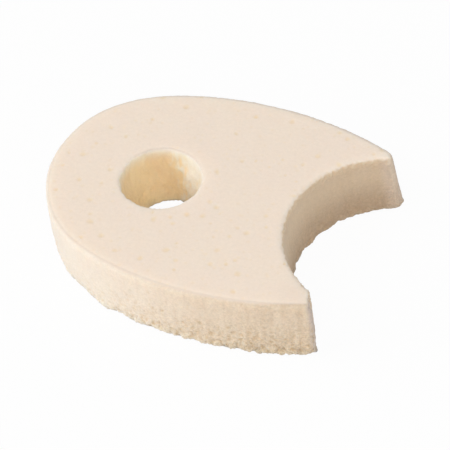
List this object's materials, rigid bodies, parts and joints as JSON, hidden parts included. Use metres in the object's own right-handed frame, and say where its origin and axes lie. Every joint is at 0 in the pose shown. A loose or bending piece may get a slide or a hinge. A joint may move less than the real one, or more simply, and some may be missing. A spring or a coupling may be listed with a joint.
{
  "type": "corn pad",
  "caption": "Egg-shaped latex foam pad with a round hole at its broad end and a curved bite at the other that leaves blunt horns; it keeps pressure off a corn on the foot.",
  "frame": {"origin": "middle of the footprint's box, on the underside that the pad lies on", "axes": "+X from the round end towards the horns, +Y towards the horn with the smaller cut, +Z out of the smooth upper face"},
  "size_m": [0.032, 0.0258, 0.0069],
  "materials": {
    "latex_foam": "matt cream open-cell foam, smooth skin above, porous die-cut walls"
  },
  "bodies": {
    "root": {"foam_pad": "latex_foam"}
  },
  "joints": []
}
